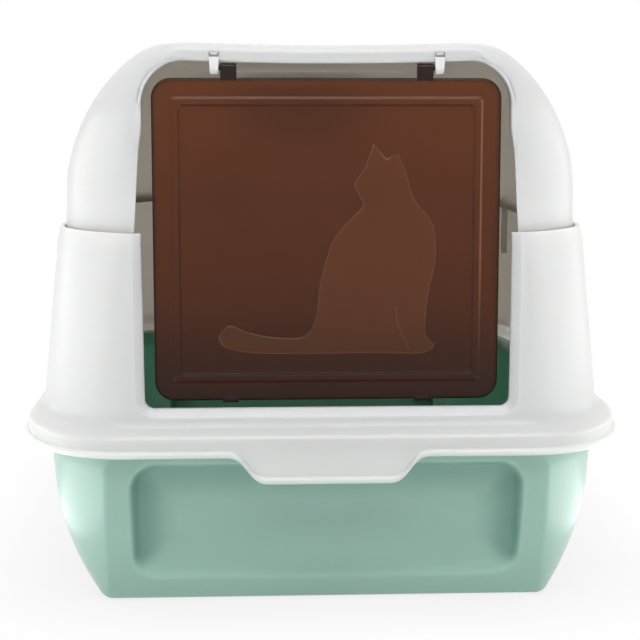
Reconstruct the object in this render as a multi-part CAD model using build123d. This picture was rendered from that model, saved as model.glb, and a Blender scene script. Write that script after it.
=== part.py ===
from build123d import *
import os

# A hooded cat litter box. A tray carries a lift-off hood in two parts: a lower ring, and a top
# that folds open at the back. A see-through flap swings in the doorway, and a filter sits in the back wall.
# Millimetres. The front faces -Y, +Z is up, and the origin is the middle of the tray's underside.

# Walls, clearances and the one overrun that carries every cut past its face
tray_wall = 2.6
hood_wall = 2.4
overrun = 4.0
seat_gap = 0.2
slide_gap = 0.3
pin_gap = 0.06

# Tray
tray_height = 110.0
tray_foot_width = 295.0
tray_foot_length = 455.0
tray_mouth_width = 367.0
tray_mouth_length = 512.0
tray_foot_corner = 12.0
tray_mouth_corner_width = 46.0
tray_mouth_corner_depth = 78.0
tray_corner_nose = 8.0
tray_foot_round = 4.0
rim_width = 7.0
rim_thickness = 3.0
recess_width = 250.0
recess_depth = 9.0
recess_top_drop = 13.0
recess_foot_rise = 18.0
recess_corner = 14.0
recess_flare = 5.0
recess_run = 30.0
# The side walls bulge more than the end walls: powers of the two profiles, and the levels of the loft
tray_side_power = 3.05
tray_end_power = 1.8
tray_level_shares = (0.0, 0.06, 0.16, 0.3, 0.5, 0.74, 1.0)

# Lower hood
rim_clearance = 2.6
rim_side_room = 4.8
skirt_drop = 5.0
skirt_flare = 3.3
ridge_rise = 7.5
ledge_width = 9.0
ledge_rise = 7.5
sill_rise = 9.5
doorway_side_height = 110.0
base_lean = 7.0
base_side_lean = 4.8
collar_curl = 2.0
collar_curl_height = 8.0
skirt_corner_width = 73.0
skirt_corner_depth = 108.0
skirt_corner_nose = 40.0
ledge_corner_nose = 26.0
hood_corner_width = 57.0
hood_corner_depth = 95.0
hood_corner_nose = 9.0
tongue_drop = 16.5
tongue_width = 77.0
tongue_slope = 25.5
bead_width = 2.0
bead_height = 4.5
seat_rib = 2.4
seat_rib_pitch = 120.0
top_stop_height = 40.0
doorway_sill_width = 231.0
doorway_collar_width = 234.0
doorway_corner = 6.0
doorway_lip = 2.2
doorway_lip_depth = 6.0

# Hood top
top_overlap = 7.0
top_clearance = 0.8
top_wall_height = 25.5
top_draft = 3.2
shoulder_height = 95.5
shoulder_power = 1.7
roof_flat_width = 200.0
roof_corner_width = 25.0
roof_corner_depth = 60.0
crown_height = 7.5
crown_run = 60.0
shoulder_level_shares = (0.0, 0.13, 0.27, 0.41, 0.54, 0.67, 0.79, 0.9, 1.0)
crown_level_shares = (0.0, 0.3, 0.55, 0.75, 0.9, 1.0)
brow_height = 14.5
brow_width = 230.0
brow_corner = 27.0
brow_lip = 3.0
brow_lip_depth = 9.0
brow_lip_height = 53.0
cheek_foot_width = 244.0
cheek_head_width = 234.0

# Flap door, its tabs and its pivots
door_side_gap = 5.5
door_sill_gap = 2.2
door_brow_gap = 10.0
door_corner = 12.6
door_plate = 2.4
door_rim = 2.0
door_rim_depth = 4.8
door_setback = 1.6
door_ridge_inset = 11.0
door_ridge_width = 4.5
door_ridge_height = 1.4
door_panel_inset = 18.0
door_panel_sink = 0.8
tab_width = 10.2
tab_pitch = 123.2
tab_thickness = 3.4
foot_tab_drop = 1.2
pivot_rise = 6.4
pivot_setback = 1.5
pivot_diameter = 4.0
pivot_length = 6.4

# The seated cat raised on the flap: its box, its height and its place, and its outline as shares of the box
cat_width = 138.0
cat_height = 133.0
cat_relief = 0.6
cat_sill_rise = 30.0
cat_side_shift = 0.0
cat_back_shares = (
    (0.0, 0.085), (0.05, 0.135), (0.14, 0.1), (0.28, 0.075), (0.4, 0.085), (0.452, 0.18), (0.475, 0.36),
    (0.53, 0.54), (0.62, 0.655), (0.668, 0.71), (0.648, 0.765), (0.63, 0.815), (0.675, 0.885))
cat_ear_shares = ((0.675, 0.885), (0.715, 1.0), (0.77, 0.928), (0.825, 0.955), (0.862, 0.86))
cat_chest_shares = (
    (0.862, 0.86), (0.9, 0.74), (0.985, 0.62), (1.0, 0.46), (0.965, 0.27), (0.955, 0.1),
    (0.995, 0.035), (0.93, 0.0), (0.7, 0.004), (0.4, 0.0), (0.16, 0.006), (0.03, 0.035), (0.0, 0.085))

# Hinge clips: the two sockets that hang the flap, snapped into windows in the brow
clip_width = 7.0
clip_socket = 8.4
clip_stem = 3.0
clip_barb_height = 2.4
clip_barb_width = 5.4
clip_barb_rise = 4.2
clip_window_gap = 0.2

# Filter bay on the back wall of the top, with three slots behind the pad
filter_width = 104.0
filter_height = 50.0
filter_thickness = 5.0
filter_rail = 2.4
filter_lip = 3.0
filter_foot_rise = 58.0
cover_thickness = 2.2
cover_pull_height = 4.0
cover_pull_width = 30.0
cover_pull_depth = 3.5
vent_count = 3
vent_pitch = 41.0
vent_width = 7.5
vent_margin = 4.0
cover_vent_count = 7
cover_vent_pitch = 12.6
cover_vent_width = 5.0

# Back hinge: ears on the lower hood, a knuckle on the top between them, and a pin through all three
hinge_pitch = 150.0
hinge_rise = 5.5
hinge_setback = 8.0
knuckle_diameter = 10.0
knuckle_width = 14.0
ear_width = 6.0
ear_height = 26.0
hinge_pin_diameter = 5.0
hinge_head_diameter = 8.0
hinge_head = 2.0
arm_height = 8.0

# Where the handle of a corner curve ends, as a share of the corner's depth
corner_pull_share = 0.38

# Levels above the floor
skirt_edge_z = tray_height - skirt_drop
tongue_z = skirt_edge_z - tongue_drop
ridge_z = tray_height + ridge_rise
ledge_z = ridge_z + ledge_rise
sill_z = ledge_z + sill_rise
collar_z = sill_z + doorway_side_height
neck_z = collar_z - collar_curl_height
top_edge_z = collar_z - top_overlap
shoulder_z = collar_z + top_wall_height
roof_z = shoulder_z + shoulder_height
brow_z = roof_z - brow_height
brow_lip_z = brow_z - brow_lip_height

# Half widths and half lengths of the plan outlines, each built out from the one that it fits
mouth = (tray_mouth_width / 2, tray_mouth_length / 2)
foot = (tray_foot_width / 2, tray_foot_length / 2)


def grown(size, amount, side_amount=0.0):
    """A plan outline's half sizes, moved out by an amount all round and by one more at the long sides."""
    return (size[0] + amount + side_amount, size[1] + amount)


rim = grown(mouth, rim_width)
ridge = grown(rim, rim_clearance + hood_wall, rim_side_room)
tongue = grown(ridge, skirt_flare)
ledge = grown(ridge, -ledge_width)
neck = grown(ledge, -base_lean, -base_side_lean)
collar = grown(neck, -collar_curl)
top_edge = grown(collar, -hood_wall - top_clearance)

# Front faces that the doorway and the flap take their places from
brow_y = -top_edge[1] + top_draft
door_y = brow_y + door_setback
pivot_y = door_y + pivot_setback
door_width = doorway_sill_width - 2 * door_side_gap
door_foot_z = sill_z + door_sill_gap
door_head_z = brow_z - door_brow_gap
pivot_z = door_head_z + pivot_rise
clip_x = (tab_pitch + tab_width + clip_width) / 2 + slide_gap

# Back faces that the filter and the hinge take their places from
back_y = top_edge[1]
hinge_y = collar[1] + hinge_setback
hinge_z = collar_z + hinge_rise
filter_z = collar_z + filter_foot_rise
filter_front_y = back_y + seat_gap
cover_front_y = filter_front_y + filter_thickness + seat_gap
cover_back_y = cover_front_y + cover_thickness
bay_back_y = cover_back_y + slide_gap + filter_rail
bay_half = filter_width / 2 + seat_gap


def blend(low, high, share):
    """The value a share of the way from low to high."""
    return low + (high - low) * share


def level(z, size, corner, inset=0.0):
    """A plan outline at height z: flat ends, long soft corners, straight sides, moved in by inset."""
    corner_width, corner_depth, nose = corner
    flat = size[0] - corner_width
    half_width, half_length = grown(size, -inset)
    depth = corner_depth - inset
    pull = depth * corner_pull_share
    curve = [
        (flat, -half_length),
        (flat + nose - inset, -half_length),
        (half_width, pull - half_length),
        (half_width, depth - half_length),
    ]
    back = [(x, -y) for x, y in reversed(curve)]
    edges = [
        Line((-flat, -half_length), (flat, -half_length)),
        Bezier(*curve),
        Line(curve[-1], back[0]),
        Bezier(*back),
        Line((flat, half_length), (-flat, half_length)),
        Bezier(*[(-x, -y) for x, y in curve]),
        Line((-back[0][0], back[0][1]), (-curve[-1][0], curve[-1][1])),
        Bezier(*[(-x, y) for x, y in reversed(curve)]),
    ]
    return Pos(0, 0, z) * make_face(edges)


def block(low, high):
    """A box between two corners."""
    size = [b - a for a, b in zip(low, high)]
    middle = [(a + b) / 2 for a, b in zip(low, high)]
    return Pos(*middle) * Box(*size)


def through(face, y_from, y_to):
    """A face drawn in X and Z, made a prism between two places along Y."""
    return extrude(Plane.XZ.offset(-y_to) * face, y_to - y_from)


def rod(x_from, x_to, y, z, diameter):
    """A round bar along X."""
    middle = Pos((x_from + x_to) / 2, y, z)
    return middle * Rot(0, 90, 0) * Cylinder(diameter / 2, abs(x_to - x_from))


def tray_level(share, inset=0.0):
    """The tray's outline a share of the way up: the sides bulge out fast and the ends more slowly."""
    side = 1 - (1 - share) ** tray_side_power
    end = 1 - (1 - share) ** tray_end_power
    size = (blend(foot[0], mouth[0], side), blend(foot[1], mouth[1], end))
    corner = (
        blend(tray_foot_corner, tray_mouth_corner_width, side),
        blend(tray_foot_corner, tray_mouth_corner_depth, side),
        tray_corner_nose,
    )
    return level(tray_height * share, size, corner, inset)


def tray_recess(grow=0.0):
    """The shallow panel pressed into the front wall: deep under the skirt, and fading out at the foot."""
    top_z = tray_height - recess_top_drop
    half_gain = mouth[1] - foot[1]
    top_y = -foot[1] - half_gain * (1 - (recess_top_drop / tray_height) ** tray_end_power) + recess_depth
    low_y = -foot[1] - half_gain * (1 - (1 - recess_foot_rise / tray_height) ** tray_end_power)
    rise = Vector(0, top_y - low_y, top_z - recess_foot_rise)
    floor = Plane(
        origin=(0, (top_y + low_y) / 2, (top_z + recess_foot_rise) / 2),
        x_dir=(1, 0, 0),
        z_dir=rise.cross(Vector(1, 0, 0)) * -1,
    ).offset(-grow)
    width = recess_width + 2 * grow
    height = rise.length + 2 * grow
    corner = recess_corner + grow
    inner = floor * RectangleRounded(width, height, corner)
    outer = floor.offset(recess_run) * RectangleRounded(
        width + 2 * recess_flare, height + 2 * recess_flare, corner + recess_flare
    )
    return loft([inner, outer])


def litter_tray():
    body = loft([tray_level(share) for share in tray_level_shares])
    body = fillet(body.faces().sort_by(Axis.Z)[0].edges(), tray_foot_round)
    flange = extrude(Pos(0, 0, -rim_thickness) * tray_level(1.0, -rim_width), rim_thickness)
    floor_share = tray_wall / tray_height
    cavity_shares = [blend(floor_share, 1.0, share) for share in tray_level_shares]
    cavity = loft([tray_level(share, tray_wall) for share in cavity_shares])
    mouth_cut = extrude(tray_level(1.0, tray_wall), overrun)
    front = tray_recess()
    front_backing = tray_recess(tray_wall)
    cavity = cavity - front_backing - mirror(front_backing, Plane.XZ)
    return body - front - mirror(front, Plane.XZ) + flange - cavity - mouth_cut


skirt_corner = (skirt_corner_width, skirt_corner_depth, skirt_corner_nose)
ledge_corner = (skirt_corner_width - ledge_width / 2, skirt_corner_depth, ledge_corner_nose)
hood_corner = (hood_corner_width, hood_corner_depth, hood_corner_nose)


def base_form(inset=0.0, past=0.0):
    """The lower hood's outside, or its inside when moved in, from the tongue's tip up to the collar."""
    steps = [
        (tongue_z, tongue, skirt_corner),
        (ridge_z - inset, ridge, skirt_corner),
        (ledge_z - inset, ledge, ledge_corner),
        (neck_z, neck, hood_corner),
        (collar_z, collar, hood_corner),
    ]
    form = loft([level(z, size, corner, inset) for z, size, corner in steps], ruled=True)
    if past:
        form += extrude(level(collar_z, collar, hood_corner, inset), past)
        form += extrude(level(tongue_z, tongue, skirt_corner, inset), -past)
    return form


def skirt_edge(lift):
    """The skirt's lower edge in front view, with the hanging tongue, raised by lift, closed below."""
    reach = tongue[0] + bead_width + overrun
    half = tongue_width / 2
    outer = half + tongue_slope
    middle = half + tongue_slope / 2
    high = skirt_edge_z + lift
    low = tongue_z + lift
    under = tongue_z - overrun
    edges = [
        Line((-reach, high), (-outer, high)),
        Bezier((-outer, high), (-middle, high), (-middle, low), (-half, low)),
        Line((-half, low), (half, low)),
        Bezier((half, low), (middle, low), (middle, high), (outer, high)),
        Line((outer, high), (reach, high)),
        Polyline((reach, high), (reach, under), (-reach, under), (-reach, high)),
    ]
    span = tongue[1] + bead_width + overrun
    return through(make_face(edges), -span, span)


def doorway(grow):
    """The lower hood's doorway in front view, open at the top, grown by an amount."""
    foot_half = doorway_sill_width / 2 + grow
    head_half = doorway_collar_width / 2 + grow
    head_z = collar_z + overrun
    low_z = sill_z - grow
    face = make_face(
        Polyline((-foot_half, low_z), (foot_half, low_z), (head_half, head_z), (-head_half, head_z), close=True)
    )
    low = face.vertices().sort_by(Axis.Y)[:2]
    return fillet(low, doorway_corner + grow)


def wall_ribs(inner, outer, low_z, high_z, ends):
    """Upright ribs on the side walls and the given end walls, between two plan sizes and two levels."""
    ribs = []
    half = seat_rib / 2
    for step in (-1, 0, 1):
        along = step * seat_rib_pitch
        across = along / 2
        for side in (-1, 1):
            xs = sorted((side * inner[0], side * outer[0]))
            ribs.append(block((xs[0], along - half, low_z), (xs[1], along + half, high_z)))
        for end in ends:
            ys = sorted((end * inner[1], end * outer[1]))
            ribs.append(block((across - half, ys[0], low_z), (across + half, ys[1], high_z)))
    return ribs


def seat_ribs():
    """Ribs under the ledge that stand on the tray's rim, and ribs on the walls that hold the top up."""
    on_tray = wall_ribs(grown(mouth, -rim_width / 2), ridge, tray_height + seat_gap, ledge_z, (-1, 1))
    stop_z = top_edge_z - seat_gap
    stop = grown(top_edge, -hood_wall)
    return on_tray + wall_ribs(stop, neck, stop_z - top_stop_height, stop_z, (1,))


def hinge_ears():
    """Two pairs of ears behind the collar, each with a gusset down the back wall."""
    ears = []
    for side in (-1, 1):
        for edge in (-1, 1):
            middle = side * hinge_pitch / 2 + edge * ((knuckle_width + ear_width) / 2 + slide_gap)
            x_from = middle - ear_width / 2
            x_to = middle + ear_width / 2
            wall_y = collar[1] - hood_wall / 2
            gusset = Plane.YZ.offset(x_from) * make_face(
                Polyline(
                    (wall_y, hinge_z - ear_height),
                    (hinge_y + knuckle_diameter / 2, hinge_z - knuckle_diameter / 2),
                    (hinge_y + knuckle_diameter / 2, hinge_z),
                    (hinge_y - knuckle_diameter / 2, hinge_z),
                    (hinge_y - knuckle_diameter / 2, collar_z),
                    (wall_y, collar_z - collar_curl),
                    close=True,
                )
            )
            ears.append(extrude(gusset, ear_width) + rod(x_from, x_to, hinge_y, hinge_z, knuckle_diameter))
    return ears


def hinge_bores():
    """The bores for the two hinge pins."""
    reach = knuckle_width / 2 + ear_width + slide_gap + overrun
    bores = []
    for side in (-1, 1):
        middle = side * hinge_pitch / 2
        bores.append(rod(middle - reach, middle + reach, hinge_y, hinge_z, hinge_pin_diameter + 2 * pin_gap))
    return bores


def hood_base():
    outside = base_form()
    inside = base_form(hood_wall, overrun)
    bead = (base_form(-bead_width) & skirt_edge(bead_height)) - skirt_edge(0)
    lip_back = ledge[1] - base_lean - collar_curl - doorway_lip_depth
    lip = through(doorway(doorway_lip) - doorway(0), -ledge[1] - overrun, -lip_back) & outside
    ribs = [rib & outside for rib in seat_ribs()]
    body = outside - skirt_edge(0) + bead - inside
    body = body + ribs + lip - through(doorway(0), -tongue[1] - overrun, -lip_back + overrun)
    return body + [ear - inside for ear in hinge_ears()] - hinge_bores()


def top_level(z, inset=0.0):
    """The hood top's outline at height z: near upright walls, an arched shoulder and a crowned roof."""
    climb = max(0.0, (z - shoulder_z) / shoulder_height)
    arch = max(0.0, 1 - climb**shoulder_power) ** (1 / shoulder_power)
    lean = top_draft * (z - top_edge_z) / (roof_z - top_edge_z)
    side = top_edge[0] - lean
    over = min(1.0, max(0.0, (z - roof_z + crown_height) / crown_height))
    crown = crown_run * (1 - (1 - over**2) ** 0.5)
    size = (blend(roof_flat_width / 2, side, arch), top_edge[1] - lean - crown)
    corner = (
        blend(hood_corner_width, roof_corner_width, climb),
        blend(hood_corner_depth, roof_corner_depth, climb),
        hood_corner_nose,
    )
    return Pos(0, 0, -inset * climb) * level(z, size, corner, inset)


def top_form(inset=0.0, past=0.0):
    """The hood top's outside, or its inside when moved in: smooth walls under a crown in steps."""
    crown_z = roof_z - crown_height
    walls = [top_level(top_edge_z, inset)]
    walls += [top_level(blend(shoulder_z, crown_z, share), inset) for share in shoulder_level_shares]
    crown = [top_level(blend(crown_z, roof_z, share), inset) for share in crown_level_shares]
    form = loft(walls) + loft(crown, ruled=True)
    if past:
        form += extrude(top_level(top_edge_z, inset), -past)
    return form


def brow_opening(grow=0.0):
    """The doorway's arched head in front view, grown by an amount."""
    half = brow_width / 2 + grow
    head_z = brow_z + grow
    face = make_face(
        Polyline((-half, brow_lip_z), (half, brow_lip_z), (half, head_z), (-half, head_z), close=True)
    )
    return fillet(face.vertices().sort_by(Axis.Y)[2:], brow_corner + grow)


def cheek_opening():
    """The plain part of the doorway below the lip, between the two cheeks of the hood top."""
    foot_half = cheek_foot_width / 2
    head_half = cheek_head_width / 2
    low_z = top_edge_z - overrun
    return make_face(
        Polyline(
            (-foot_half, low_z),
            (foot_half, low_z),
            (head_half, brow_lip_z),
            (-head_half, brow_lip_z),
            close=True,
        )
    )


def clip_box(side, low_x, high_x, low, high):
    """A box on one clip, given in X from the clip's middle, and in Y and Z."""
    xs = sorted((side * (clip_x + low_x), side * (clip_x + high_x)))
    return block((xs[0], low[0], low[1]), (xs[1], high[0], high[1]))


clip_wall_y = brow_y + hood_wall
clip_stem_z = brow_z + clip_barb_rise + clip_barb_height


def clip_openings(side):
    """What a hinge clip needs in the brow: a notch in the lip, room behind it, and a barb window."""
    half = clip_width / 2 + clip_window_gap
    barb = clip_barb_width / 2 + clip_window_gap
    notch_z = brow_z + brow_lip + clip_window_gap
    front_y = brow_y - overrun
    back_y_cut = brow_y + brow_lip_depth + overrun
    notch = clip_box(side, -half, half, (front_y, brow_z - overrun), (back_y_cut, notch_z))
    room = clip_box(side, -half, half, (clip_wall_y, brow_z), (back_y_cut, clip_stem_z + clip_window_gap))
    window = clip_box(
        side,
        -barb,
        barb,
        (front_y, clip_stem_z - clip_barb_height - clip_window_gap),
        (clip_wall_y + overrun, clip_stem_z + clip_window_gap),
    )
    return notch + room + window


def filter_bay():
    """The frame on the back wall that holds the filter, open at the top, with lips over the cover."""
    low_z = filter_z - filter_rail
    high_z = filter_z + filter_height
    outer = bay_half + filter_rail
    wall_y = back_y - top_draft - hood_wall / 2
    frame = block((-outer, wall_y, low_z), (outer, bay_back_y, high_z))
    past_z = high_z + overrun
    pocket = block((-bay_half, wall_y - overrun, filter_z), (bay_half, bay_back_y - filter_rail, past_z))
    window_half = bay_half - filter_lip
    window = block((-window_half, wall_y, filter_z + filter_lip), (window_half, bay_back_y + overrun, past_z))
    return frame - pocket - window


def vents():
    """The slots in the back wall, in a row behind the filter pad."""
    cuts = []
    for index in range(vent_count):
        x = (index - (vent_count - 1) / 2) * vent_pitch
        cuts.append(
            block(
                (x - vent_width / 2, back_y - top_draft - hood_wall - overrun, filter_z + vent_margin),
                (x + vent_width / 2, back_y + overrun, filter_z + filter_height - vent_margin),
            )
        )
    return cuts


def hinge_arms():
    """The two arms that reach back over the collar from the top to the hinge."""
    arms = []
    for side in (-1, 1):
        x_from = side * hinge_pitch / 2 - knuckle_width / 2
        x_to = x_from + knuckle_width
        high_z = hinge_z + arm_height
        strap = Plane.YZ.offset(x_from) * make_face(
            Polyline(
                (back_y - hood_wall, hinge_z - knuckle_diameter / 2 + seat_gap),
                (hinge_y, hinge_z - knuckle_diameter / 2 + seat_gap),
                (hinge_y, hinge_z + knuckle_diameter / 2),
                (back_y - hood_wall, high_z),
                close=True,
            )
        )
        arms.append(extrude(strap, knuckle_width) + rod(x_from, x_to, hinge_y, hinge_z, knuckle_diameter))
    return arms


def hood_top():
    outside = top_form()
    inside = top_form(hood_wall, overrun)
    lip_back = brow_y + brow_lip_depth
    lip = through(brow_opening(brow_lip) - brow_opening(), -top_edge[1] - overrun, lip_back) & outside
    bay = filter_bay() - inside
    arms = [arm - inside for arm in hinge_arms()]
    openings = brow_opening() + cheek_opening()
    front = through(openings, -top_edge[1] - overrun, lip_back + overrun)
    body = outside - inside + lip + bay + arms - front
    body = body - clip_openings(-1) - clip_openings(1) - vents()
    pad_room = block(
        (-bay_half, back_y, filter_z), (bay_half, bay_back_y - filter_rail, filter_z + filter_height)
    )
    return body - pad_room - hinge_bores()


def door_face(inset):
    """The flap's outline in front view, moved in by an amount."""
    face = RectangleRounded(
        door_width - 2 * inset, door_head_z - door_foot_z - 2 * inset, door_corner - min(inset, door_corner / 2)
    )
    return Pos(0, (door_head_z + door_foot_z) / 2) * face


def cat_figure():
    """The seated cat in front view: two long curves, joined by straight-sided ears."""
    left = cat_side_shift - cat_width / 2
    foot_z = door_foot_z + cat_sill_rise

    def placed(shares):
        return [(left + x * cat_width, foot_z + z * cat_height) for x, z in shares]

    back = Spline(*placed(cat_back_shares))
    ears = Polyline(*placed(cat_ear_shares))
    chest = Spline(*placed(cat_chest_shares))
    return make_face([back, ears, chest])


def flap_door():
    back_plate_y = door_y + door_plate
    ridge_y = door_y - door_ridge_height
    plate = through(door_face(0), door_y, back_plate_y)
    rim_band = through(door_face(0) - door_face(door_rim), door_y, door_y + door_rim_depth)
    inner_inset = door_ridge_inset + door_ridge_width
    ridge_band = through(door_face(door_ridge_inset) - door_face(inner_inset), ridge_y, door_y)
    panel = through(door_face(door_panel_inset), door_y, door_y + door_panel_sink)
    cat = through(cat_figure(), door_y + door_panel_sink - cat_relief, door_y + door_panel_sink)
    body = plate + rim_band + ridge_band - panel + cat
    for side in (-1, 1):
        x_from = side * tab_pitch / 2 - tab_width / 2
        x_to = x_from + tab_width
        front_y = pivot_y - tab_thickness / 2
        rear_y = pivot_y + tab_thickness / 2
        body += block((x_from, front_y, door_head_z - door_rim), (x_to, rear_y, pivot_z))
        body += rod(x_from, x_to, pivot_y, pivot_z, tab_thickness + door_rim)
        body += block((x_from, front_y, door_foot_z - foot_tab_drop), (x_to, rear_y, door_foot_z + door_rim))
        pin_start = side * (tab_pitch - tab_width) / 2
        pin_end = side * ((tab_pitch + tab_width) / 2 + pivot_length)
        body += rod(pin_start, pin_end, pivot_y, pivot_z, pivot_diameter)
    return body


def hinge_clip(side):
    half = clip_width / 2
    front_y = pivot_y - clip_socket / 2
    stem_y = clip_wall_y + clip_window_gap
    socket = rod(side * (clip_x - half), side * (clip_x + half), pivot_y, pivot_z, clip_socket)
    neck = clip_box(side, -half, half, (front_y, pivot_z), (pivot_y + clip_socket / 2, brow_z + brow_lip))
    stem = clip_box(side, -half, half, (stem_y, brow_z), (stem_y + clip_stem, clip_stem_z))
    barb = clip_box(
        side,
        -clip_barb_width / 2,
        clip_barb_width / 2,
        (brow_y + clip_window_gap, clip_stem_z - clip_barb_height),
        (stem_y + clip_stem, clip_stem_z),
    )
    reach = half + overrun
    bore_diameter = pivot_diameter + 2 * pin_gap
    bore = rod(side * (clip_x - reach), side * (clip_x + reach), pivot_y, pivot_z, bore_diameter)
    return socket + neck + stem + barb - bore


def filter_pad():
    return block(
        (-filter_width / 2, filter_front_y, filter_z + seat_gap),
        (filter_width / 2, filter_front_y + filter_thickness, filter_z + filter_height - vent_margin),
    )


def filter_cover():
    high_z = filter_z + filter_height
    low_z = filter_z + seat_gap
    plate = block((-filter_width / 2, cover_front_y, low_z), (filter_width / 2, cover_back_y, high_z))
    slots = []
    for index in range(cover_vent_count):
        x = (index - (cover_vent_count - 1) / 2) * cover_vent_pitch
        half = cover_vent_width / 2
        low = (x - half, cover_front_y - overrun, filter_z + filter_lip + vent_margin)
        slots.append(block(low, (x + half, cover_back_y + overrun, high_z - cover_pull_height - vent_margin)))
    pull = block(
        (-cover_pull_width / 2, cover_front_y, high_z - cover_pull_height),
        (cover_pull_width / 2, cover_back_y + cover_pull_depth, high_z),
    )
    return plate - slots + pull


def hinge_pin(side):
    reach = knuckle_width / 2 + ear_width + slide_gap
    middle = side * hinge_pitch / 2
    outer = middle + side * reach
    shank = rod(middle - side * reach, outer + side * slide_gap, hinge_y, hinge_z, hinge_pin_diameter)
    head = rod(
        outer + side * slide_gap, outer + side * (slide_gap + hinge_head), hinge_y, hinge_z, hinge_head_diameter
    )
    return shank + head


pieces = {
    "litter_tray": litter_tray(),
    "hood_base": hood_base(),
    "hood_top": hood_top(),
    "flap_door": flap_door(),
    "hinge_clip_left": hinge_clip(-1),
    "hinge_clip_right": hinge_clip(1),
    "rear_hinge_pin_left": hinge_pin(-1),
    "rear_hinge_pin_right": hinge_pin(1),
    "filter_pad": filter_pad(),
    "filter_cover": filter_cover(),
}

os.makedirs("parts", exist_ok=True)
for name, piece in pieces.items():
    export_step(piece, f"parts/{name}.step")
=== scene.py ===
import math

import bpy
import numpy as np
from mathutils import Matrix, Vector, geometry


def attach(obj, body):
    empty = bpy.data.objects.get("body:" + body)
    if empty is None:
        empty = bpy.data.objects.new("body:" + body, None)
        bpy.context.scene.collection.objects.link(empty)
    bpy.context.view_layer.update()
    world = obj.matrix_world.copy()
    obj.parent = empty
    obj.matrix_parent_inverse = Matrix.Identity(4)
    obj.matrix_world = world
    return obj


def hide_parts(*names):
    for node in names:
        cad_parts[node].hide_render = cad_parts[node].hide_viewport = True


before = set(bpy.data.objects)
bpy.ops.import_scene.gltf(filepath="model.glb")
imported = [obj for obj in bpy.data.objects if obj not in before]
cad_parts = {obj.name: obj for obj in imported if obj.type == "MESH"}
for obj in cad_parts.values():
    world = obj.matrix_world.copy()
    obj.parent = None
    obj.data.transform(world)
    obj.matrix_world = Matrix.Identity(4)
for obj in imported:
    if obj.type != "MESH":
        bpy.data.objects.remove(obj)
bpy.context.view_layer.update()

# Litter tray. One deep moulding in mint-green polypropylene, 2.6 mm thick, with a flat foot, bulging
# sides and a rim turned outwards that carries the hood. A shallow panel is pressed into each end wall.
# Sizes are millimetres; a level is z, half width, half length, corner width, corner depth, corner nose.
tray_height = 110.0
tray_wall = 2.6
tray_mouth = np.array([183.5, 256.0, 41.3, 78.0, 3.0])
tray_foot = np.array([147.5, 227.5, 5.3, 12.0, 3.0])
tray_rim = 7.0
tray_edge = 0.8
sharp_angle = 40.0
foot_turn = 6.0
rim_turn = 2.0
side_power = 3.05
end_power = 1.8
foot_shares = (0.02, 0.2, 0.4, 0.6, 0.8)
turn_share = 0.93
wall_shares = (0.12, 0.95)
rim_corner_growth = 4.7
rim_growth_shares = (0.86, 0.97)
corner_pull = 0.38
end_wall_y = 200.0
panel_half_width = 125.5
panel_foot_z = 18.5
panel_top_z = 97.0
panel_margin = 4.0
panel_depth = 15.0
panel_foot_depth = 7.0
panel_corner = 16.0
panel_steep = (-4.0, 2.0)
panel_gentle = (-38.0, 1.0)
steep_share = 0.65
foot_share = 0.6
foot_run = 10.0
# The band of painted shade just inside each end panel's edge, and its colour.
shade_edge = (-2.0, 2.0)
shade_run = (-30.0, -5.0)
shade_head = 0.55
shade_side = 0.8
shade_turn = 8.0
shade_head_rise = (20.0, 50.0)
shade_foot_rise = 16.0
panel_painted_shade_colour = (0.135, 0.31, 0.25, 1.0)
mint_colour = (0.36, 0.565, 0.485, 1.0)
mint_shade = (0.34, 0.545, 0.465, 1.0)


def smooth(low, high, value):
    """A soft step from 0 at low to 1 at high."""
    t = np.clip((value - low) / (high - low), 0.0, 1.0)
    return t * t * (3 - 2 * t)


def turns(angles):
    """Cosine and sine of each angle, given in degrees."""
    return [(math.cos(math.radians(a)), math.sin(math.radians(a))) for a in angles]


def rounded(levels, reaches, steps=7):
    """The levels with a curve put in at each one that has a reach, in place of its corner."""
    out = [levels[0]]
    for before, here, after, reach in zip(levels, levels[1:], levels[2:], reaches):
        start = here + (before - here) * min(0.5, reach / np.linalg.norm((before - here)[:2]))
        end = here + (after - here) * min(0.5, reach / np.linalg.norm((after - here)[:2]))
        for t in np.linspace(0, 1, steps):
            out.append(start * (1 - t) ** 2 + here * 2 * t * (1 - t) + end * t**2)
    out.append(levels[-1])
    return out


def outline(level, front_x, back_x, corner_steps=22, side_steps=24):
    """Right half of a plan outline, from the front to the back, through the given x on the two ends."""
    z, half_width, half_length, width, depth, nose = level
    flat = half_width - width
    dense = np.linspace(0, 1, 400)
    pull = corner_pull * depth
    handles = np.array([(flat, 0.0), (flat + nose, 0.0), (half_width, pull), (half_width, depth)])

    def corner(t):
        t = np.asarray(t)[:, None]
        return (
            handles[0] * (1 - t) ** 3
            + handles[1] * 3 * t * (1 - t) ** 2
            + handles[2] * 3 * t**2 * (1 - t)
            + handles[3] * t**3
        )

    table = corner(dense)

    def end_part(xs):
        """An end wall and its corner, as x and the distance in from the end."""
        start = np.interp(xs[-1], table[:, 0], dense)
        line = [(x, np.interp(x, table[:, 0], table[:, 1])) for x in xs]
        curve = corner(start + (1 - start) * np.linspace(0, 1, corner_steps + 1)[1:])
        return np.vstack([line, curve])

    front = end_part(front_x)
    back = end_part(back_x)[::-1]
    run = np.linspace(depth - half_length, half_length - depth, side_steps + 1)[1:-1]
    points = [(x, d - half_length, z) for x, d in front]
    points += [(half_width, y, z) for y in run]
    points += [(x, half_length - d, z) for x, d in back]
    return np.array(points)


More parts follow.
